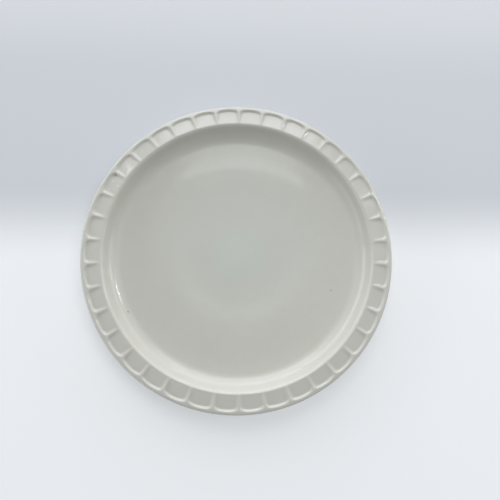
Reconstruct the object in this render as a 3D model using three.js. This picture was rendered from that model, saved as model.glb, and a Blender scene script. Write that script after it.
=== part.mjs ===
// Serving plate: a moulded clay body, fired, with a glaze film over all of it but the foot that it stands on.
// The rim carries a ring of scooped panels parted by narrow ribs.
// Millimetres, +Z up, face up. The origin is the centre of the foot ring's bearing face.

import * as THREE from "three";
import { mergeVertices } from "three/addons/utils/BufferGeometryUtils.js";

// Plate as a whole, over the glaze
const plateDiameter = 304.8;
const glazeThickness = 0.3;

// Well: its depth below the rim's top, and the wall that climbs out of its floor
const wellDepth = 15.5;
const wallAngle = THREE.MathUtils.degToRad(70);
const wallFootRadius = 13;
const floorThickness = 6;
const wallThickness = 5.5;

// Rim: from the shoulder's corner to the edge, measured on the clay
const rimWidth = 19.9;
const shoulderRadius = 3.2;
const edgeThickness = 4.2;
const edgeRadius = 2.3;
const rimRootThickness = 5.4;
const rimRootRadius = 5;

// Scooped panels on the rim, open towards the well and closed by a step at the lip
const panelCount = 38;
const panelDepth = 1.5;
const panelInnerDepth = 0.15;
const panelCornerRadius = 4.4;
const panelArch = 1.3;
const lipWidth = 3.2;
const ribCrestWidth = 1.2;
const flankRunPerDepth = 1.75;

// Foot ring, under the well's floor
const footInset = 14.5;
const footHeight = 3.5;
const footBearingWidth = 4.5;
const footDraft = THREE.MathUtils.degToRad(15);
const footRootRadius = 2;
const footEdgeRadius = 0.8;
const bareFootBand = 1.3;

// Facets: steps round the axis on the face and on the back
const stepsPerPanel = 2;
const faceSteps = stepsPerPanel * panelCount;
const backSteps = 48;
const firstRibAngle = Math.PI / 2;
const pitch = (2 * Math.PI) / panelCount;
const samePlace = 1e-3;
const leastRun = 0.3;

// Places that follow from the sizes, on the clay
const clayRadius = plateDiameter / 2 - glazeThickness;
const floorLevel = footHeight + floorThickness;
const rimLevel = floorLevel + wellDepth;
const shoulder = new THREE.Vector2(clayRadius - rimWidth, rimLevel);
const wallRise = new THREE.Vector2(Math.cos(wallAngle), Math.sin(wallAngle));
const wallCorner = meet(shoulder, wallRise, new THREE.Vector2(0, floorLevel), new THREE.Vector2(1, 0));
const floorRadius = wallCorner.x - wallFootRadius * Math.tan(wallAngle / 2);
const footRadius = floorRadius - footInset;

// Panels: where their floor starts to dip, where the step's top and foot lie, and the dip per millimetre
const panelStart = shoulder.x + shoulderRadius * Math.tan(wallAngle / 2);
const panelEnd = clayRadius - lipWidth;
const stepRun = panelDepth * flankRunPerDepth;
const dipPerRun = (panelDepth - panelInnerDepth) / (panelEnd - stepRun - panelStart);

// The point where two lines of the section meet, each given by a point and a direction
function meet(point, direction, other, otherDirection) {
  const gap = other.clone().sub(point);
  const along = gap.cross(otherDirection) / direction.cross(otherDirection);
  return point.clone().addScaledVector(direction, along);
}

// A corner of the section, with the radius that rounds it off and the arc steps there
// The marks go to the arc's last point
function corner(r, z, radius, arcSteps, steps, endMarks = {}) {
  return { at: new THREE.Vector2(r, z), radius, arcSteps, steps, endMarks };
}

// A plain point of the section, on a straight run
function point(r, z, steps, marks = {}) {
  return { at: new THREE.Vector2(r, z), radius: 0, arcSteps: 0, steps, ...marks };
}

// The clay's section as corners, from the middle of the face over edge and foot to the middle of the base
function claySection() {
  const backStart = shoulder.clone().add(new THREE.Vector2(wallRise.y, -wallRise.x).multiplyScalar(wallThickness));
  const rimUnder = new THREE.Vector2(clayRadius, rimLevel - edgeThickness);
  const rimUnderRun = new THREE.Vector2(shoulder.x, rimLevel - rimRootThickness).sub(rimUnder);
  const rimRoot = meet(backStart, wallRise, rimUnder, rimUnderRun);
  const backCorner = meet(backStart, wallRise, new THREE.Vector2(0, footHeight), new THREE.Vector2(1, 0));
  const halfBearing = footBearingWidth / 2;
  const flankOut = (height) => halfBearing + height * Math.tan(footDraft);
  return [
    point(0, floorLevel, faceSteps),
    corner(wallCorner.x, wallCorner.y, wallFootRadius, 4, faceSteps),
    corner(shoulder.x, shoulder.y, shoulderRadius, 2, faceSteps, { panels: true }),
    ...panelRings().map((r) => point(r, rimLevel, faceSteps, { panels: true })),
    corner(clayRadius, rimLevel, edgeRadius, 2, faceSteps),
    corner(rimUnder.x, rimUnder.y, edgeRadius, 2, faceSteps),
    corner(rimRoot.x, rimRoot.y, rimRootRadius, 2, backSteps),
    corner(backCorner.x, backCorner.y, wallFootRadius + floorThickness, 4, backSteps),
    corner(footRadius + flankOut(footHeight), footHeight, footRootRadius, 1, backSteps),
    point(footRadius + flankOut(bareFootBand), bareFootBand, backSteps, { glazeEnd: true }),
    corner(footRadius + halfBearing, 0, footEdgeRadius, 1, backSteps),
    corner(footRadius - halfBearing, 0, footEdgeRadius, 1, backSteps),
    point(footRadius - flankOut(bareFootBand), bareFootBand, backSteps, { glazeEnd: true }),
    corner(footRadius - flankOut(footHeight), footHeight, footRootRadius, 1, backSteps),
    point(0, footHeight, backSteps),
  ];
}

// Radii of the rings that shape the panels: where the round corners start, and the step's foot and top
function panelRings() {
  const roundStart = panelEnd - Math.max(panelCornerRadius, stepRun + leastRun);
  return [roundStart, panelEnd - stepRun, panelEnd];
}

// Stations along the section, each with its place, the direction in which it faces, and its marks
function stationsOf(section) {
  const stations = section.flatMap((here, i) => {
    const before = section[i - 1] ?? here;
    const after = section[i + 1] ?? here;
    const into = here.at.clone().sub(before.at);
    const out = after.at.clone().sub(here.at);
    const facing = facingOf(i ? into : out);
    if (!here.radius) return [{ ...here, facing }];
    const wanted = wantedTangent(section, i);
    const roomBefore = (into.length() * wanted) / (wanted + wantedTangent(section, i - 1));
    const roomAfter = (out.length() * wanted) / (wanted + wantedTangent(section, i + 1));
    return roundedCorner(here, into, out, Math.min(wanted, roomBefore, roomAfter));
  });
  return stations.filter((here, i) => !i || here.at.distanceTo(stations[i - 1].at) > samePlace);
}

// The outward side of a run of the section
function facingOf(run) {
  return new THREE.Vector2(-run.y, run.x).normalize();
}

// How much of each run beside a corner its arc takes, before neighbours that share the run are counted
function wantedTangent(section, i) {
  const { at, radius } = section[i];
  if (!radius) return 0;
  const into = at.clone().sub(section[i - 1].at);
  const out = section[i + 1].at.clone().sub(at);
  return radius * Math.tan(Math.abs(turnBetween(into, out)) / 2);
}

function turnBetween(into, out) {
  return Math.atan2(into.cross(out), into.dot(out));
}

// The stations on the arc that rounds a corner, with the length that it takes of both runs beside it
function roundedCorner(here, into, out, tangent) {
  const turn = turnBetween(into, out);
  const halfTan = Math.tan(Math.abs(turn) / 2);
  const start = here.at.clone().addScaledVector(into.clone().normalize(), -tangent);
  const bend = (Math.sign(turn) * tangent) / halfTan;
  const startFacing = facingOf(into);
  const centre = start.clone().addScaledVector(startFacing, bend);
  const arc = [];
  for (let i = 0; i <= here.arcSteps; i++) {
    const facing = startFacing.clone().rotateAround(new THREE.Vector2(), (turn * i) / here.arcSteps);
    const marks = i === here.arcSteps ? here.endMarks : {};
    arc.push({ ...here, ...marks, at: centre.clone().addScaledVector(facing, -bend), facing });
  }
  return arc;
}

// How far a panel's floor lies below the rim's top at a radius, before its sides are met
function floorDip(r) {
  return panelInnerDepth + Math.max(r - panelStart, 0) * dipPerRun;
}

// Depth of a panel at a radius and at a distance inside its rounded outline
function depthInside(r, inside) {
  return Math.min(floorDip(r), inside / flankRunPerDepth);
}

// Half a rib's width at a radius, out to the points that lie a distance inside the panel's outline
function ribHalfWidth(r, inside) {
  const toEnd = Math.max(panelEnd - r, inside);
  const intoCorner = Math.max(panelCornerRadius - toEnd, 0);
  const cornerLeft = Math.max(panelCornerRadius - inside, 0);
  const across = Math.sqrt(Math.max(cornerLeft ** 2 - intoCorner ** 2, 0));
  return ribCrestWidth / 2 + (intoCorner > 0 ? panelCornerRadius - across : inside);
}

// One ring's columns through the panels: each panel's crest edges, the feet of its flanks, its middle
// A panel's outer end is arched, so a ring falls back from the middle of the panel towards the ribs
function panelColumns(r) {
  const toEnd = Math.max(panelEnd - r, 0);
  const wantedInside = floorDip(r) * flankRunPerDepth;
  const footInside = Math.min(wantedInside, Math.max(toEnd, leastRun));
  const crest = ribHalfWidth(Math.min(r, panelEnd - leastRun), 0);
  const foot = Math.max(ribHalfWidth(r, footInside), crest + leastRun);
  const footDepth = depthInside(r, Math.min(footInside, toEnd));
  const halfPanel = r * Math.sin(pitch / 2);
  const archShare = (r - panelStart) / (panelEnd - panelStart);
  const across = [
    { side: 1, x: crest, depth: 0 },
    { side: 1, x: foot, depth: footDepth },
    { side: 1, x: halfPanel, depth: depthInside(r, toEnd) },
    { side: -1, x: foot, depth: footDepth },
    { side: -1, x: crest, depth: 0 },
  ];
  return Array.from({ length: panelCount }, (_, k) => firstRibAngle + k * pitch).flatMap((rib) =>
    across.map(({ side, x, depth }) => ({
      angle: (side > 0 ? rib : rib + pitch) + side * Math.asin(x / r),
      depth,
      back: panelArch * archShare * (1 - x / halfPanel) ** 2,
    })),
  );
}

// Evenly spaced columns round the axis
function plainColumns(steps) {
  const angleAt = (i) => firstRibAngle + (2 * Math.PI * i) / steps;
  return Array.from({ length: steps }, (_, i) => ({ angle: angleAt(i), depth: 0, back: 0 }));
}

// The ring of points that a station makes round the axis, lifted off the clay along its facing
function ringAt(station, lift) {
  const r = station.at.x + lift * station.facing.x;
  const z = station.at.y + lift * station.facing.y;
  if (station.at.x === 0) return [{ angle: firstRibAngle, place: new THREE.Vector3(0, 0, z) }];
  const columns = station.panels ? panelColumns(station.at.x) : plainColumns(station.steps);
  return columns.map(({ angle, depth, back }) => ({
    angle,
    place: new THREE.Vector3((r - back) * Math.cos(angle), (r - back) * Math.sin(angle), z - depth),
  }));
}

// Triangles between two rings, going round by whichever ring's next point comes first
function band(inner, outer) {
  const turns = (ring, i) => ring[i % ring.length].angle + (i >= ring.length ? 2 * Math.PI : 0);
  const steps = (ring) => (ring.length > 1 ? ring.length : 0);
  const triangles = [];
  let i = 0;
  let j = 0;
  while (i < steps(inner) || j < steps(outer)) {
    const a = inner[i % inner.length].place;
    const b = outer[j % outer.length].place;
    const innerNext = i < steps(inner) ? turns(inner, i + 1) : Infinity;
    const outerNext = j < steps(outer) ? turns(outer, j + 1) : Infinity;
    if (innerNext < outerNext) {
      i += 1;
      triangles.push([a, b, inner[i % inner.length].place]);
    } else {
      j += 1;
      triangles.push([a, b, outer[j % outer.length].place]);
    }
  }
  return triangles;
}

// The surface over a run of stations
function skin(stations, lift) {
  const rings = stations.map((station) => ringAt(station, lift));
  return rings.slice(1).flatMap((ring, i) => band(rings[i], ring));
}

function turnedOver(triangles) {
  return triangles.map(([a, b, c]) => [a, c, b]);
}

// A glaze film over a run of stations: its outer skin, its inner skin on the clay, and the rim where it ends
function film(stations, open) {
  const end = stations[open === "last" ? stations.length - 1 : 0];
  const onClay = ringAt(end, 0);
  const onGlaze = ringAt(end, glazeThickness);
  const endBand = open === "last" ? band(onGlaze, onClay) : band(onClay, onGlaze);
  return [...skin(stations, glazeThickness), ...turnedOver(skin(stations, 0)), ...endBand];
}

// One closed mesh from triangles, named and coloured
function piece(name, triangles, material) {
  const geometry = new THREE.BufferGeometry().setFromPoints(triangles.flat());
  const merged = mergeVertices(geometry, 1e-4);
  merged.computeVertexNormals();
  const mesh = new THREE.Mesh(merged, material);
  mesh.name = name;
  return mesh;
}

const bisque = new THREE.MeshStandardMaterial({ color: 0xd9cfbd, roughness: 0.85, metalness: 0 });
const whiteGlaze = new THREE.MeshStandardMaterial({ color: 0xdfdfd7, roughness: 0.15, metalness: 0 });

const clay = stationsOf(claySection());
const faceGlazeEnd = clay.findIndex((station) => station.glazeEnd);
const baseGlazeStart = clay.findLastIndex((station) => station.glazeEnd);

const plate = new THREE.Group();
plate.add(piece("ceramic_body", skin(clay, 0), bisque));
plate.add(piece("glaze_face", film(clay.slice(0, faceGlazeEnd + 1), "last"), whiteGlaze));
plate.add(piece("glaze_base", film(clay.slice(baseGlazeStart), "first"), whiteGlaze));

export default plate;
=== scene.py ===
"""Serving plate: a white glazed plate with a moulded rim, lying face up on a pale floor.

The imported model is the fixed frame: metres, +Z up, the origin on the floor under the plate's centre.
"""

import math

import bpy
from mathutils import Matrix, Vector


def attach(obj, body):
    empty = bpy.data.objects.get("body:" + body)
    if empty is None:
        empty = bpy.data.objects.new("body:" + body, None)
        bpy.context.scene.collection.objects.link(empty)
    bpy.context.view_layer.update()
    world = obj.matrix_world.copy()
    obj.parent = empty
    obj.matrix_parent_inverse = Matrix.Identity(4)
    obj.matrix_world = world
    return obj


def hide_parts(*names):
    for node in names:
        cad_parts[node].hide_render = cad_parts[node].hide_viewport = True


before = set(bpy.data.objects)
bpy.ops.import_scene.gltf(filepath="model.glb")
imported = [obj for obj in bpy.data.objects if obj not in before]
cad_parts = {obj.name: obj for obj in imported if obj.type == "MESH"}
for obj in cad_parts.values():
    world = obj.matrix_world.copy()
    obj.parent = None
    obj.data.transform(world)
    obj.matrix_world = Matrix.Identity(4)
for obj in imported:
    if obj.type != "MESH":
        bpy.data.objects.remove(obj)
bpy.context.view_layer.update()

MM = 0.001

# The plate as a whole, over the glaze
PLATE_RADIUS = 152.4
GLAZE = 0.3
CLAY_RADIUS = PLATE_RADIUS - GLAZE

# Well and wall, on the clay
WELL_DEPTH = 15.5
WALL_ANGLE = math.radians(70)
WALL_FOOT_RADIUS = 13.0
FLOOR_THICKNESS = 6.0
WALL_THICKNESS = 5.5

# Rim, on the clay
RIM_WIDTH = 19.9
SHOULDER_RADIUS = 3.2
EDGE_THICKNESS = 4.2
EDGE_RADIUS = 2.1
RIM_ROOT_THICKNESS = 5.4
RIM_ROOT_RADIUS = 5.0

# Panels and ribs of the rim
PANELS = 38
PANEL_DEPTH = 1.5
PANEL_INNER_DEPTH = 0.15
PANEL_CORNER_RADIUS = 4.4
PANEL_ARCH = 1.6
LIP_WIDTH = 2.6
RIB_WIDTH = 1.1
FLANK_RUN = 1.75
FIRST_RIB = math.radians(90)

# Foot ring
FOOT_INSET = 14.5
FOOT_HEIGHT = 3.5
FOOT_BEARING = 4.5
FOOT_DRAFT = math.radians(15)
FOOT_ROOT_RADIUS = 2.0
FOOT_EDGE_RADIUS = 0.8
BARE_BAND = 1.3

# The well's floor sags a little in firing, and less over the foot ring: radius and height
FLOOR_SAG = (
    (5.0, -0.1),
    (32.0, -0.5),
    (46.0, -0.5),
    (76.0, 0.48),
    (90.0, 0.4),
    (107.0, 0.0),
    (117.0, 0.0),
)

# How far hand finishing lets the relief's outline wander
RELIEF_WOBBLE = 0.12

# The lip falls away a little towards the edge
LIP_FALL = 0.8

# Places that follow from the sizes
FLOOR_LEVEL = FOOT_HEIGHT + FLOOR_THICKNESS
RIM_LEVEL = FLOOR_LEVEL + WELL_DEPTH
SHOULDER = Vector((CLAY_RADIUS - RIM_WIDTH, RIM_LEVEL))
PANEL_START = SHOULDER.x + SHOULDER_RADIUS * math.tan(WALL_ANGLE / 2)
PANEL_END = CLAY_RADIUS - LIP_WIDTH
EDGE_START = CLAY_RADIUS - EDGE_RADIUS
STEP_RUN = PANEL_DEPTH * FLANK_RUN
DIP_PER_RUN = (PANEL_DEPTH - PANEL_INNER_DEPTH) / (PANEL_END - STEP_RUN - PANEL_START)

# Glaze: its tint, its lightness and its roughness
GLAZE_TINT = (0.984, 0.98, 0.886)
GLAZE_LEVEL = 0.745
GLAZE_ROUGHNESS = 0.15

# Where the well's floor is tinted greener, and its middle carries a painted greenish reflection: the tint,
# and each patch's place and radius
GREENER_AND_REFLECTION_TINT = (0.925, 0.985, 0.895)
PAINTED_REFLECTION_SPOT = ((0.0, 0.0, FLOOR_LEVEL), 36.0)
GREENER_FLOOR = ((6.0, 22.0, FLOOR_LEVEL), 86.0)

# Iron specks in the glaze, and what a larger one stains round it
SPECK_COLOUR = (0.25, 0.19, 0.13, 1.0)
MARK_COLOUR = (0.22, 0.15, 0.09, 1.0)
HALO_COLOUR = (0.40, 0.31, 0.21, 1.0)
HALO_SPREAD = 3.0

# Thin glaze over the clay at the foot, the glaze where it is scratched, and small scuffs rubbed dull whose
# whitish colour is a painted highlight
THIN_COLOUR = (0.66, 0.58, 0.45, 1.0)
SCUFF_HIGHLIGHT_COLOUR = (0.90, 0.90, 0.86, 1.0)
SCRATCH_COLOUR = (0.42, 0.40, 0.35, 1.0)
SCUFF_AND_HIGHLIGHT_RADIUS = 1.4
SCRATCH_WIDTH = 0.45

# Bare clay: its darker and paler grains, its specks, and where it is worn by standing
CLAY_DARK = (0.52, 0.45, 0.35, 1.0)
CLAY_PALE = (0.72, 0.65, 0.54, 1.0)
CLAY_SPECK = (0.26, 0.18, 0.12, 1.0)
CLAY_WORN = (0.42, 0.38, 0.32, 1.0)

# This plate's own marks: dark specks (place, radius, strength), dull scuffs with painted highlights, and
# fine scratches
MARKS = (
    ((-122.5, 76.9, 23.9), 0.9, 0.8),
    ((-107.7, -57.3, 10.65), 0.8, 0.85),
    ((93.0, -36.5, 10.0), 0.9, 0.5),
    ((-79.5, 101.4, 16.8), 0.6, 0.35),
)
SCUFFS_AND_HIGHLIGHTS = ((-124.9, 70.7, 24.2), (-119.7, 65.6, 24.6), (-128.3, 62.4, 23.9))
SCRATCHES = (((30.0, -50.8), (51.9, -57.8)), ((3.0, -35.8), (24.0, -41.9)))

# The floor under the plate, in metres to each side, and its paint behind and before the plate
FLOOR_HALF = 1.6
FLOOR_PAINT_BACK = (0.66, 0.70, 0.74, 1.0)
FLOOR_PAINT_FRONT = (0.76, 0.78, 0.80, 1.0)

# What the floor adds for the eye: far behind, behind and before the plate
FLOOR_GLOW_FAR = (0.19, 0.185, 0.185, 1.0)
FLOOR_GLOW_BACK = (0.125, 0.125, 0.13, 1.0)
FLOOR_GLOW_FRONT = (0.34, 0.35, 0.36, 1.0)
NO_GLOW = (0.0, 0.0, 0.0, 1.0)

# The room, as a light and as it is seen
ROOM_LIGHT = (0.18, 0.19, 0.18, 1.0)
ROOM_SEEN = (0.80, 0.82, 0.84, 1.0)


class Socket:
    """One output of a node tree. Arithmetic on it adds Math nodes."""

    def __init__(self, tree, socket):
        self.tree = tree
        self.socket = socket

    def output(self, name):
        """Another output of the same node."""
        return Socket(self.tree, self.socket.node.outputs[name])

    def math(self, operation, *others):
        values = dict(enumerate((self, *others)))
        return self.tree.node("ShaderNodeMath", {"operation": operation}, values)

    def swapped(self, operation, other):
        """The operation with the other value first."""
        return self.tree.node("ShaderNodeMath", {"operation": operation}, {0: other, 1: self})

    def __add__(self, other):
        return self.math("ADD", other)

    __radd__ = __add__

    def __sub__(self, other):
        return self.math("SUBTRACT", other)

    def __rsub__(self, other):
        return self.swapped("SUBTRACT", other)

    def __mul__(self, other):
        return self.math("MULTIPLY", other)

    __rmul__ = __mul__

    def __truediv__(self, other):
        return self.math("DIVIDE", other)

    def __rtruediv__(self, other):
        return self.swapped("DIVIDE", other)

    def __pow__(self, other):
        return self.math("POWER", other)

    def __abs__(self):
        return self.math("ABSOLUTE")

    def above(self, level):
        return self.math("GREATER_THAN", level)

    def below(self, level):
        return self.math("LESS_THAN", level)

    def least(self, other):
        return self.math("MINIMUM", other)

    def most(self, other):
        return self.math("MAXIMUM", other)

    def ramp(self, start, end, low=0.0, high=1.0, kind="SMOOTHSTEP"):
        """Rises or falls from low at start to high at end, and stays level outside."""
        ends = {"Value": self, "From Min": start, "From Max": end, "To Min": low, "To Max": high}
        return self.tree.node("ShaderNodeMapRange", {"interpolation_type": kind}, ends)


class Tree:
    """A node tree that is written as Python expressions."""

    def __init__(self, tree):
        self.tree = tree
        tree.nodes.clear()

    def node(self, kind, settings=None, inputs=None, output=0):
        """Adds a node: its settings first, then the values or links of its sockets."""
        made = self.tree.nodes.new(kind)
        for name, value in (settings or {}).items():
            setattr(made, name, value)
        for name, value in (inputs or {}).items():
            if isinstance(value, Socket):
                self.tree.links.new(value.socket, made.inputs[name])
            else:
                made.inputs[name].default_value = value
        return Socket(self, made.outputs[output]) if len(made.outputs) else made

    def mix_colour(self, factor, first, second):
        """The first colour where the factor is 0, and the second where it is 1."""
        values = {0: factor, 6: first, 7: second}
        return self.node("ShaderNodeMix", {"data_type": "RGBA"}, values, output=2)

    def noise(self, place, scale, detail=2.0, roughness=0.5):
        values = {"Vector": place, "Scale": scale, "Detail": detail, "Roughness": roughness}
        return self.node("ShaderNodeTexNoise", {}, values)

    def object_place(self):
        """The object's own coordinates, in metres."""
        return self.node("ShaderNodeTexCoord", output="Object")

    def attribute(self, name):
        """A value that the mesh stores at its points."""
        settings = {"attribute_type": "GEOMETRY", "attribute_name": name}
        return self.node("ShaderNodeAttribute", settings, {}, "Fac")

    def parts_of(self, vector):
        """The x, y and z of a vector."""
        parts = self.node("ShaderNodeSeparateXYZ", {}, {0: vector})
        return parts, parts.output("Y"), parts.output("Z")

    def spot(self, place, centre, radius):
        """A soft round mask about a point, both in millimetres."""
        offset = {0: place, 1: tuple(c * MM for c in centre)}
        distance = self.node("ShaderNodeVectorMath", {"operation": "DISTANCE"}, offset, "Value")
        return distance.ramp(radius * 0.5 * MM, radius * 1.2 * MM, 1.0, 0.0)

    def scattered(self, place, scale, size, share):
        """Small round dots of about one size, in a share of the cells."""
        cells = self.node("ShaderNodeTexVoronoi", {}, {"Vector": place, "Scale": scale}, "Distance")
        chance, _, _ = self.parts_of(cells.output("Color"))
        return cells.ramp(size * 0.5, size, 1.0, 0.0) * chance.below(share)

    def scratch(self, place, start, end, width):
        """A mask along a straight fine scratch on the well's floor, in millimetres."""
        x, y, z = self.parts_of(place)
        run = (Vector(end) - Vector(start)) * MM
        ahead = run.normalized()
        dx = x - start[0] * MM
        dy = y - start[1] * MM
        along = (dx * ahead.x + dy * ahead.y).most(0.0).least(run.length)
        aside = ((dx - along * ahead.x) ** 2 + (dy - along * ahead.y) ** 2).math("SQRT")
        ends = along.ramp(0.0, run.length * 0.2) * along.ramp(run.length * 0.7, run.length, 1.0, 0.0)
        on_face = z.above(FOOT_HEIGHT * 2 * MM)
        return aside.ramp(width * 0.2 * MM, width * MM, 1.0, 0.0) * ends * on_face

    def bump(self, height, distance):
        values = {"Height": height, "Distance": distance, "Strength": 1.0}
        return self.node("ShaderNodeBump", {}, values)

    def seen_rays(self):
        """1 for what is seen, also in a mirror or through glass, and 0 for what lights the scene."""
        ray = self.node("ShaderNodeLightPath", output="Is Camera Ray")
        return ray.most(ray.output("Is Glossy Ray")).most(ray.output("Is Transmission Ray"))


def meet(point, direction, other, other_direction):
    """The point where two lines of the section meet."""
    gap = other - point
    along = gap.cross(other_direction) / direction.cross(other_direction)
    return point + direction * along


def face_of(run):
    """The outward side of a run of the section."""
    return Vector((-run.y, run.x)).normalized()


def turned(vector, angle):
    """The vector after a turn, anticlockwise in the section."""
    return Vector((
        vector.x * math.cos(angle) - vector.y * math.sin(angle),
        vector.x * math.sin(angle) + vector.y * math.cos(angle),
    ))


def tangent_length(before, here, after, radius):
    """How much of each run a fillet of a radius takes at a corner."""
    into = here - before
    out = after - here
    turn = math.atan2(into.cross(out), into.dot(out))
    return radius * math.tan(abs(turn) / 2)


def rounded_section(corners):
    """Stations (place, facing, relief) along a section with corners (place, radius, steps, relief).

    Fillets that share a run take it in proportion to what each wants.
    """
    places = [corner[0] for corner in corners]
    wanted = [0.0] * len(corners)
    for i in range(1, len(corners) - 1):
        wanted[i] = tangent_length(places[i - 1], places[i], places[i + 1], corners[i][1])
    stations = []
    for i, (place, radius, steps, relief) in enumerate(corners):
        if wanted[i] == 0.0:
            run = places[i] - places[i - 1] if i else places[1] - places[0]
            stations.append((place, face_of(run), relief))
            continue
        into = places[i] - places[i - 1]
        out = places[i + 1] - places[i]
        room_before = into.length * wanted[i] / (wanted[i] + wanted[i - 1])
        room_after = out.length * wanted[i] / (wanted[i] + wanted[i + 1])
        tangent = min(wanted[i], room_before, room_after)
        turn = math.atan2(into.cross(out), into.dot(out))
        start = places[i] - into.normalized() * tangent
        bend = math.copysign(tangent / math.tan(abs(turn) / 2), turn)
        centre = start + face_of(into) * bend
        for step in range(steps + 1):
            facing = turned(face_of(into), turn * step / steps)
            stations.append((centre - facing * bend, facing, relief))
    return [s for i, s in enumerate(stations) if not i or (s[0] - stations[i - 1][0]).length > 1e-4]


def spaced(start, end, step):
    """Even places from start towards end, about a step apart, without the end."""
    count = max(1, round(abs(end - start) / step))
    return [start + (end - start) * i / count for i in range(count)]


def floor_sag(radius):
    """How high the well's floor lies over its level at a radius."""
    for (start, low), (end, high) in zip(FLOOR_SAG, FLOOR_SAG[1:]):
        if start <= radius <= end:
            share = (1 - math.cos(math.pi * (radius - start) / (end - start))) / 2
            return low + (high - low) * share
    return FLOOR_SAG[0][1]


def face_corners(coarse=1):
    """The foot ring's radius, and the clay's section from the middle of the face to the foot ring."""
    wall = Vector((math.cos(WALL_ANGLE), math.sin(WALL_ANGLE)))
    level = Vector((1, 0))
    wall_corner = meet(SHOULDER, wall, Vector((0, FLOOR_LEVEL)), level)
    back_start = SHOULDER + Vector((wall.y, -wall.x)) * WALL_THICKNESS
    rim_under = Vector((CLAY_RADIUS, RIM_LEVEL - EDGE_THICKNESS))
    under_run = Vector((SHOULDER.x, RIM_LEVEL - RIM_ROOT_THICKNESS)) - rim_under
    rim_root = meet(back_start, wall, rim_under, under_run)
    back_corner = meet(back_start, wall, Vector((0, FOOT_HEIGHT)), level)
    foot_radius = wall_corner.x - WALL_FOOT_RADIUS * math.tan(WALL_ANGLE / 2) - FOOT_INSET
    floor_end = FLOOR_SAG[-1][0]
    floor = [*spaced(0, floor_end, 4 * coarse), floor_end]
    flat = [(Vector((r, FLOOR_LEVEL + floor_sag(r))), 0, 0, 0) for r in floor]
    rim = spaced(PANEL_START + 0.8, PANEL_END - 6, 1.3 * coarse)
    rim += spaced(PANEL_END - 6, PANEL_END, 0.45 * coarse)
    panels = [(Vector((r, RIM_LEVEL)), 0, 0, 1) for r in rim]

    def outer(height):
        return foot_radius + FOOT_BEARING / 2 + height * math.tan(FOOT_DRAFT)

    return foot_radius, [
        *flat,
        (wall_corner, WALL_FOOT_RADIUS, 14 // coarse, 0),
        (SHOULDER, SHOULDER_RADIUS, 8 // coarse, 1),
        *panels,
        (Vector((PANEL_END, RIM_LEVEL)), 0, 0, 1),
        (Vector((CLAY_RADIUS, RIM_LEVEL - LIP_FALL)), EDGE_RADIUS, 8 // coarse, 0),
        (rim_under, EDGE_RADIUS, 8 // coarse, 0),
        (rim_root, RIM_ROOT_RADIUS, 6 // coarse, 0),
        (back_corner, WALL_FOOT_RADIUS + FLOOR_THICKNESS, 12 // coarse, 0),
        (Vector((outer(FOOT_HEIGHT), FOOT_HEIGHT)), FOOT_ROOT_RADIUS, 4 // coarse, 0),
        (Vector((outer(BARE_BAND), BARE_BAND)), 0, 0, 0),
    ]


def base_corners(foot_radius):
    """The clay's section from the glaze's end inside the foot ring to the middle of the base."""

    def inner(height):
        return foot_radius - FOOT_BEARING / 2 - height * math.tan(FOOT_DRAFT)

    flat = [(Vector((r, FOOT_HEIGHT)), 0, 0, 0) for r in spaced(inner(FOOT_HEIGHT) - 8, 0, 14)]
    return [
        (Vector((inner(BARE_BAND), BARE_BAND)), 0, 0, 0),
        (Vector((inner(FOOT_HEIGHT), FOOT_HEIGHT)), FOOT_ROOT_RADIUS, 5, 0),
        *flat,
        (Vector((0, FOOT_HEIGHT)), 0, 0, 0),
    ]


def foot_corners(foot_radius):
    """The bare foot ring's section, from its outer to its inner flank."""
    half = FOOT_BEARING / 2
    return [
        (Vector((foot_radius + half, 0)), FOOT_EDGE_RADIUS, 5, 0),
        (Vector((foot_radius - half, 0)), FOOT_EDGE_RADIUS, 5, 0),
    ]


def lifted(stations, lift):
    """The stations' places at a height above the clay, with that height and the relief's share."""
    return [(place + facing * lift, lift, relief) for place, facing, relief in stations]


def film_end(end, before):
    """The rounded end of a glaze film, from its outer skin down to the clay."""
    place, facing, _ = end
    back = (before[0] - place).normalized() * GLAZE
    turns = (0.0, 0.5, 1.0)
    return [(place + back + facing * GLAZE * math.cos(a) - back * math.sin(a), 0.0, 0) for a in turns]


def section_mesh(name, section):
    """A line of points (radius, 0, height) in metres, with the lift over the clay and the relief."""
    mesh = bpy.data.meshes.new(name)
    points = [(place.x * MM, 0.0, place.y * MM) for place, _, _ in section]
    mesh.from_pydata(points, [(i, i + 1) for i in range(len(points) - 1)], [])
    for column, attribute, scale in ((1, "lift", MM), (2, "relief", 1.0)):
        values = [station[column] * scale for station in section]
        mesh.attributes.new(attribute, "FLOAT", "POINT").data.foreach_set("value", values)
    return mesh


LAYER_SIZES = {
    "Panels": ("NodeSocketInt", PANELS),
    "Columns per Panel": ("NodeSocketInt", 14),
    "Rib Closeness": ("NodeSocketFloat", 0.7),
    "First Rib": ("NodeSocketFloat", FIRST_RIB),
    "Rim Level": ("NodeSocketFloat", RIM_LEVEL * MM),
    "Panel Start": ("NodeSocketFloat", PANEL_START * MM),
    "Panel End": ("NodeSocketFloat", PANEL_END * MM),
    "Edge Start": ("NodeSocketFloat", EDGE_START * MM),
    "Inner Depth": ("NodeSocketFloat", PANEL_INNER_DEPTH * MM),
    "Dip per Run": ("NodeSocketFloat", DIP_PER_RUN),
    "Corner Radius": ("NodeSocketFloat", PANEL_CORNER_RADIUS * MM),
    "Arch": ("NodeSocketFloat", PANEL_ARCH * MM),
    "Rib Width": ("NodeSocketFloat", RIB_WIDTH * MM),
    "Flank Width": ("NodeSocketFloat", STEP_RUN * MM),
    "Wobble": ("NodeSocketFloat", RELIEF_WOBBLE * MM),
    "Finish": ("NodeSocketMaterial", None),
}


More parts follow.
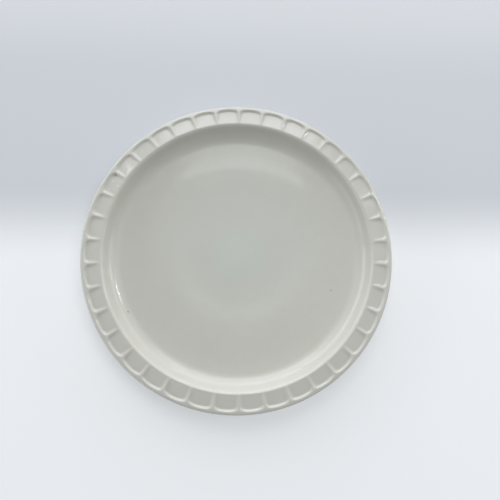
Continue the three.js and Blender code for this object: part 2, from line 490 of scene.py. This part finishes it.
def plate_layer_tree():
    """Revolves a section round the axis and presses the rim's panels into it."""
    group = bpy.data.node_groups.new("plate_layer", "GeometryNodeTree")
    group.interface.new_socket("Section", in_out="INPUT", socket_type="NodeSocketGeometry")
    for name, (kind, _) in LAYER_SIZES.items():
        group.interface.new_socket(name, in_out="INPUT", socket_type=kind)
    group.interface.new_socket("Layer", in_out="OUTPUT", socket_type="NodeSocketGeometry")
    tree = Tree(group)
    section = tree.node("NodeGroupInput")
    size = section.output
    columns = size("Columns per Panel")

    # One grid point per station and column
    stations = tree.node("GeometryNodeAttributeDomainSize", {}, {"Geometry": section})
    count = size("Panels") * columns + 1
    grid = tree.node("GeometryNodeMeshGrid", {}, {"Vertices X": count, "Vertices Y": stations})
    index = tree.node("GeometryNodeInputIndex")
    column = (index / stations + 1e-5).math("FLOOR")
    station = index - column * stations
    position = tree.node("GeometryNodeInputPosition")
    where = {"Geometry": section, "Value": position, "Index": station}
    place = tree.node("GeometryNodeSampleIndex", {"data_type": "FLOAT_VECTOR"}, where)
    place = tree.node("ShaderNodeSeparateXYZ", {}, {0: place})
    radius = place.output("X")
    height = place.output("Z")

    def sampled(attribute):
        kind = {"data_type": "FLOAT"}
        named = tree.node("GeometryNodeInputNamedAttribute", kind, {"Name": attribute})
        where = {"Geometry": section, "Value": named, "Index": station}
        return tree.node("GeometryNodeSampleIndex", kind, where)

    relief = sampled("relief")

    # Columns lie closer beside the ribs
    share_round = column / columns
    panel = (share_round + 1e-6).math("FLOOR")
    within = share_round - panel
    within = within - size("Rib Closeness") * (within * (2 * math.pi)).math("SINE") / (2 * math.pi)
    pitch = (2 * math.pi) / size("Panels")
    angle = size("First Rib") + (panel + within) * pitch
    from_rib = abs(within - within.math("ROUND")) * pitch
    across = radius * from_rib.math("SINE")
    half_panel = radius * (pitch / 2).math("SINE")

    # How far a point lies inside the panel's rounded outline
    corner = size("Corner Radius")
    from_side = corner - (across - size("Rib Width") / 2)
    from_end = corner - (size("Panel End") - radius)
    round_part = (from_side.most(0.0) ** 2 + from_end.most(0.0) ** 2).math("SQRT")
    inside = corner - round_part - from_side.most(from_end).least(0.0)

    # Hand finishing leaves that outline a little uneven
    flat_place = {0: radius * angle.math("COSINE"), 1: radius * angle.math("SINE")}
    flat_place = tree.node("ShaderNodeCombineXYZ", {}, flat_place)
    inside = inside + (tree.noise(flat_place, 90.0) - 0.5) * 2.0 * size("Wobble")

    # The panel's floor dips outwards, and its flanks rise to the ribs and the lip in a soft curve
    dip = size("Inner Depth") + (radius - size("Panel Start")) * size("Dip per Run")
    floor_depth = (height - sampled("lift") - size("Rim Level") + dip).most(0.0)
    flank = size("Flank Width") * (floor_depth / (PANEL_DEPTH * MM) * 0.6 + 0.4)
    depth = floor_depth * inside.ramp(0.0, flank) * relief

    # The panel's outer end is arched
    share_out = radius.ramp(size("Panel Start"), size("Panel End"), kind="LINEAR")
    share_in = radius.ramp(size("Panel End"), size("Edge Start"), 1.0, 0.0, kind="LINEAR")
    fall_back = size("Arch") * (1.0 - across / half_panel.most(1e-6)) ** 2
    shifted = radius - fall_back * share_out.least(share_in) * relief

    new_place = {0: shifted * angle.math("COSINE"), 1: shifted * angle.math("SINE"), 2: height - depth}
    new_place = tree.node("ShaderNodeCombineXYZ", {}, new_place)
    moved = tree.node("GeometryNodeSetPosition", {}, {"Geometry": grid, "Position": new_place})
    pooled = inside.ramp(flank * 0.4, flank) * inside.ramp(flank * 3.0, flank * 1.2) * relief
    for name, value in (("pooled", pooled), ("sunk", depth / (PANEL_DEPTH * MM))):
        kept = {"Geometry": moved, "Name": name, "Value": value}
        on_points = {"data_type": "FLOAT", "domain": "POINT"}
        moved = tree.node("GeometryNodeStoreNamedAttribute", on_points, kept)

    # Close it, turn it outwards and give it its finish
    merged = tree.node("GeometryNodeMergeByDistance", {}, {"Geometry": moved, "Distance": 1e-6})
    outward = tree.node("GeometryNodeFlipFaces", {}, {"Mesh": merged})
    smooth = tree.node("GeometryNodeSetShadeSmooth", {}, {"Geometry": outward, "Shade Smooth": True})
    real = tree.node("GeometryNodeRealizeInstances", {}, {"Geometry": smooth})
    finish = {"Geometry": real, "Material": size("Finish")}
    finished = tree.node("GeometryNodeSetMaterial", {}, finish)
    tree.node("NodeGroupOutput", {}, {"Layer": finished})
    return group


def plate_layer(name, section, tree, material):
    """One layer of the plate as a plain mesh object."""
    source = bpy.data.objects.new(name + "_section", section_mesh(name + "_section", section))
    bpy.context.scene.collection.objects.link(source)
    modifier = source.modifiers.new("layer", "NODES")
    modifier.node_group = tree
    given = {"Finish": material}
    for item in tree.interface.items_tree:
        if item.in_out == "INPUT" and item.name in LAYER_SIZES:
            modifier[item.identifier] = given.get(item.name, LAYER_SIZES[item.name][1])
    evaluated = source.evaluated_get(bpy.context.evaluated_depsgraph_get())
    mesh = bpy.data.meshes.new_from_object(evaluated)
    mesh.name = name
    source.modifiers.remove(modifier)
    bpy.data.objects.remove(source)
    piece = bpy.data.objects.new(name, mesh)
    bpy.context.scene.collection.objects.link(piece)
    return piece


def new_material(name):
    """A new material and its empty tree."""
    material = bpy.data.materials.new(name)
    material.use_nodes = True
    tree = Tree(material.node_tree)
    return material, tree


def finish_material(tree, settings):
    """Ends the tree in one Principled shader."""
    shader = tree.node("ShaderNodeBsdfPrincipled", {}, settings)
    tree.node("ShaderNodeOutputMaterial", {}, {"Surface": shader})


def tinted(level, tint=GLAZE_TINT):
    """The glaze's warm white at a level."""
    return (tint[0] * level, tint[1] * level, tint[2] * level, 1.0)


def glaze_material():
    """Glossy warm white glaze: clouded, waved like orange peel, with the marks of firing and of use, a
    painted greenish reflection in the well's middle and painted highlights on its scuffs.
    """
    material, tree = new_material("warm_white_glaze")
    place = tree.object_place()
    _, _, height = tree.parts_of(place)
    pooled = tree.attribute("pooled")
    sunk = tree.attribute("sunk")

    # Clouding in two sizes, and glaze that is thicker at the foot of the panels' sides
    clouds = tree.noise(place, 22.0, 3.0) * 0.6 + tree.noise(place, 140.0, 2.0) * 0.4
    tone = clouds.ramp(0.3, 0.7, kind="LINEAR") - pooled * 0.5 + sunk * 0.1
    colour = tree.mix_colour(tone, tinted(GLAZE_LEVEL * 0.975), tinted(GLAZE_LEVEL * 1.015))

    # It is greener over much of the well's floor, and most in its middle, where the green is a painted
    # reflection
    middle = tree.spot(place, *PAINTED_REFLECTION_SPOT) * 0.76
    greener_and_reflection = middle.most(tree.spot(place, *GREENER_FLOOR) * 0.3)
    colour = tree.mix_colour(greener_and_reflection, colour, tinted(GLAZE_LEVEL, GREENER_AND_REFLECTION_TINT))

    # Where the glaze ends at the foot it runs thin over the clay
    thin = height.ramp(1.4 * MM, 3.0 * MM, 1.0, 0.0) * 0.7
    colour = tree.mix_colour(thin, colour, THIN_COLOUR)

    # Firing specks over the whole plate, and the larger ones that this plate has
    specks = tree.scattered(place, 55.0, 0.018, 0.10) * 0.45
    colour = tree.mix_colour(specks, colour, SPECK_COLOUR)
    stained, stain_radius, _ = MARKS[0]
    halo = tree.spot(place, stained, stain_radius * HALO_SPREAD) * 0.3
    colour = tree.mix_colour(halo, colour, HALO_COLOUR)
    for centre, radius, strength in MARKS:
        mark = tree.spot(place, centre, radius) * strength
        colour = tree.mix_colour(mark, colour, MARK_COLOUR)

    # Marks of use on the floor and the rim: the scuffs are rubbed dull and carry a painted whitish
    # highlight
    rubbed_and_highlit = tree.spot(place, SCUFFS_AND_HIGHLIGHTS[0], SCUFF_AND_HIGHLIGHT_RADIUS)
    for centre in SCUFFS_AND_HIGHLIGHTS[1:]:
        rubbed_and_highlit = rubbed_and_highlit.most(tree.spot(place, centre, SCUFF_AND_HIGHLIGHT_RADIUS))
    scored = tree.scratch(place, *SCRATCHES[0], SCRATCH_WIDTH)
    for start, end in SCRATCHES[1:]:
        scored = scored.most(tree.scratch(place, start, end, SCRATCH_WIDTH))
    # Painted highlight: the scuffs are lightened towards a near white
    colour = tree.mix_colour(rubbed_and_highlit * 0.5, colour, SCUFF_HIGHLIGHT_COLOUR)
    colour = tree.mix_colour(scored * 0.16, colour, SCRATCH_COLOUR)

    # Orange peel and pinholes, and a gloss that use has worn unevenly
    pinholes = tree.scattered(place, 90.0, 0.03, 0.06)
    peel = tree.noise(place, 260.0, 1.0) + tree.noise(place, 45.0, 1.0) * 3.0
    normal = tree.bump(peel - pinholes * 2.0 - scored * 0.6, 0.012 * MM)
    smoothest, dullest = GLAZE_ROUGHNESS - 0.04, GLAZE_ROUGHNESS + 0.05
    worn = tree.noise(place, 35.0, 3.0).ramp(0.35, 0.7, smoothest, dullest)
    roughness = worn + scored * 0.15 + rubbed_and_highlit * 0.15 + pinholes * 0.2
    gloss = {"Coat Weight": 0.25, "Coat Roughness": 0.05, "IOR": 1.5}
    finish_material(tree, {"Base Color": colour, "Roughness": roughness, "Normal": normal, **gloss})
    return material


def clay_material():
    """Bare fired clay: pale cream and sandy, rubbed smoother and greyer where the plate stands."""
    material, tree = new_material("bare_fired_clay")
    place = tree.object_place()
    _, _, height = tree.parts_of(place)
    grain = tree.noise(place, 900.0, 3.0, 0.6)
    clouds = tree.noise(place, 40.0, 2.0)
    colour = tree.mix_colour(grain * 0.6 + clouds * 0.4, CLAY_DARK, CLAY_PALE)
    specks = tree.scattered(place, 420.0, 0.16, 0.12)
    colour = tree.mix_colour(specks * 0.7, colour, CLAY_SPECK)
    stood_on = height.ramp(0.05 * MM, 0.35 * MM, 1.0, 0.0)
    colour = tree.mix_colour(stood_on * clouds.ramp(0.35, 0.6) * 0.5, colour, CLAY_WORN)
    roughness = 0.88 - stood_on * 0.2
    normal = tree.bump(grain - specks * 0.4, 0.06 * MM)
    finish_material(tree, {"Base Color": colour, "Roughness": roughness, "Normal": normal})
    return material


def floor_material():
    """Pale matt floor, cool grey behind the plate and near white before it.

    It is brighter to the eye than as a light on the plate.
    """
    material, tree = new_material("pale_floor")
    _, y, _ = tree.parts_of(tree.object_place())
    ahead = y.ramp(0.075, -0.01)
    colour = tree.mix_colour(ahead, FLOOR_PAINT_BACK, FLOOR_PAINT_FRONT)
    glow = tree.mix_colour(y.ramp(0.20, 0.30), FLOOR_GLOW_BACK, FLOOR_GLOW_FAR)
    glow = tree.mix_colour(ahead, glow, FLOOR_GLOW_FRONT)
    glow = tree.mix_colour(tree.seen_rays(), NO_GLOW, glow)
    matt = {"Roughness": 0.9, "Specular IOR Level": 0.2}
    shine = {"Emission Color": glow, "Emission Strength": 1.0}
    finish_material(tree, {"Base Color": colour, **matt, **shine})
    return material


# The three layers: the two glaze films have an outer skin and, more coarsely, the clay's face
foot_radius, face = face_corners()
coarse_face = face_corners(2)[1]
base = base_corners(foot_radius)
face_outer = rounded_section(face)
face_inner = rounded_section(coarse_face)
base_stations = rounded_section(base)
clay_stations = rounded_section([*coarse_face, *foot_corners(foot_radius), *base])

face_end = film_end(face_outer[-1], face_outer[-2])
face_film = lifted(face_outer[:-1], GLAZE) + face_end + lifted(face_inner, 0.0)[::-1]
base_end = film_end(base_stations[0], base_stations[1])[::-1]
base_film = lifted(base_stations, 0.0)[::-1] + base_end + lifted(base_stations[1:], GLAZE)

glaze = glaze_material()
layer_tree = plate_layer_tree()
face_glaze = plate_layer("face_glaze_coat", face_film, layer_tree, glaze)
base_glaze = plate_layer("base_glaze_coat", base_film, layer_tree, glaze)
clay_body = plate_layer("moulded_clay_body", lifted(clay_stations, 0.0), layer_tree, clay_material())

for piece, node, slot in (
    (face_glaze, "glaze_face", "glaze"),
    (base_glaze, "glaze_base", "glaze"),
    (clay_body, "ceramic_body", "clay"),
):
    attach(piece, "root")
    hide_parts(node)

# Floor
floor_mesh = bpy.data.meshes.new("floor")
floor_sides = ((-1, -1), (1, -1), (1, 1), (-1, 1))
floor_points = [(x * FLOOR_HALF, y * FLOOR_HALF, 0) for x, y in floor_sides]
floor_mesh.from_pydata(floor_points, [], [(0, 1, 2, 3)])
floor = bpy.data.objects.new("floor", floor_mesh)
floor_mesh.materials.append(floor_material())
bpy.context.scene.collection.objects.link(floor)

# Camera, at the photograph's viewing angle: its place is in plate radii from the middle of the edge
LENS = 30.21
SENSOR = 36.0
CAMERA_IN_RADII = Vector((-0.0606, -0.4347, 2.6639))
CAMERA_AHEAD = Vector((0.0495, 0.1685, -1.0)).normalized()
PLATE_TURN = math.radians(-0.26)
EDGE_MIDDLE = Vector((0, 0, RIM_LEVEL - EDGE_RADIUS))
CAMERA_PLACE = (CAMERA_IN_RADII * PLATE_RADIUS + EDGE_MIDDLE) * MM

camera_data = bpy.data.cameras.new("camera")
camera_data.lens = LENS
camera_data.sensor_width = SENSOR
camera = bpy.data.objects.new("camera", camera_data)
bpy.context.scene.collection.objects.link(camera)
camera_right = CAMERA_AHEAD.cross(Vector((0, 1, 0))).normalized()
camera_up = camera_right.cross(CAMERA_AHEAD)
camera_axes = Matrix((camera_right, camera_up, -CAMERA_AHEAD)).transposed().to_4x4()
about_plate = Matrix.Rotation(PLATE_TURN, 4, "Z")
camera.matrix_world = about_plate @ Matrix.Translation(CAMERA_PLACE) @ camera_axes
bpy.context.scene.camera = camera


def direction(azimuth, elevation):
    """The unit vector of a direction in degrees: azimuth from +X towards +Y, and elevation."""
    a = math.radians(azimuth)
    e = math.radians(elevation)
    return Vector((math.cos(e) * math.cos(a), math.cos(e) * math.sin(a), math.sin(e)))


def area_lamp(name, width, height, brightness, place, turn):
    """A rectangular lamp that the camera doesn't see, by the colour of its face."""
    lamp = bpy.data.lights.new(name, "AREA")
    lamp.shape = "RECTANGLE"
    lamp.size = width
    lamp.size_y = height
    level = max(brightness)
    lamp.energy = math.pi * width * height * level
    lamp.color = [part / level for part in brightness]
    lamp_object = bpy.data.objects.new(name, lamp)
    bpy.context.scene.collection.objects.link(lamp_object)
    lamp_object.location = place
    lamp_object.rotation_euler = turn.to_euler()
    lamp_object.visible_camera = False
    return lamp_object


def softbox(name, azimuth, elevation, distance, width, height, brightness, mirrored):
    """A broad lamp that faces the plate, by its direction from it in degrees."""
    ahead = direction(azimuth, elevation)
    lamp = area_lamp(name, width, height, brightness, ahead * distance, ahead.to_track_quat("Z", "Y"))
    lamp.visible_glossy = mirrored


def strip_light(name, start, end, distance, thickness, brightness, mirrored):
    """A thin lamp between two directions, which the glaze only mirrors or only takes light from."""
    first = direction(*start) * distance
    second = direction(*end) * distance
    middle = (first + second) / 2
    back = middle.normalized()
    along = (second - first).normalized()
    along = (along - back * along.dot(back)).normalized()
    axes = Matrix((along, back.cross(along), back)).transposed()
    lamp = area_lamp(name, (second - first).length, thickness, (brightness,) * 3, middle, axes)
    lamp.visible_glossy = mirrored
    lamp.visible_diffuse = not mirrored


# Broad lamps: name, azimuth, elevation, distance, width, height, brightness, whether it is mirrored
for lamp in (
    ("window", 90, 30, 2.8, 2.6, 2.3, (1.42, 1.41, 1.50), True),
    ("window_head", 88, 57, 2.6, 1.7, 0.9, (1.75, 1.78, 1.82), True),
    ("window_foot", 88, 5, 2.8, 2.6, 1.1, (1.90, 1.85, 2.12), True),
    ("left_wall", 145, 11, 2.6, 2.8, 1.2, (1.95, 1.98, 2.08), True),
    ("right_wall", 30, 11, 2.6, 2.8, 1.2, (1.00, 0.99, 1.07), True),
    ("far_left", 198, 10, 2.6, 1.7, 0.9, (1.55, 1.59, 1.65), True),
    ("front_fill", 270, 14, 2.8, 3.8, 1.2, (0.20, 0.18, 0.26), False),
    ("right_head", 5, 62, 2.6, 1.4, 1.2, (1.81, 1.80, 1.80), False),
    ("ceiling", 82, 80.6, 2.6, 0.42, 0.42, (0.40, 0.52, 0.50), True),
):
    softbox(*lamp)

# Thin lamps: name, its two ends, distance, thickness, brightness, whether it is mirrored.
# The gaps, as between curtains, are what it mirrors as streaks.
for lamp in (
    ("low_right_strip", (30.5, 3.0), (20.5, 3.0), 2.2, 0.18, 20.0, False),
    ("low_left_strip", (153.0, 3.0), (143.0, 3.0), 2.2, 0.18, 5.0, False),
    ("right_gap", (33.4, 48.8), (26.9, 40.9), 2.6, 0.07, 45.0, True),
    ("low_gap", (21.5, 13.0), (16.5, 16.0), 2.6, 0.07, 35.0, True),
    ("left_gap", (134.1, 54.5), (128.2, 49.7), 2.6, 0.04, 8.0, True),
):
    strip_light(*lamp)

# The room round the plate
world = bpy.data.worlds.new("room")
bpy.context.scene.world = world
world.use_nodes = True
room = Tree(world.node_tree)
room_colour = room.mix_colour(room.seen_rays(), ROOM_LIGHT, ROOM_SEEN)
room_light = room.node("ShaderNodeBackground", {}, {"Color": room_colour, "Strength": 1.0})
room.node("ShaderNodeOutputWorld", {}, {"Surface": room_light})

bpy.context.scene.view_settings.view_transform = "Standard"
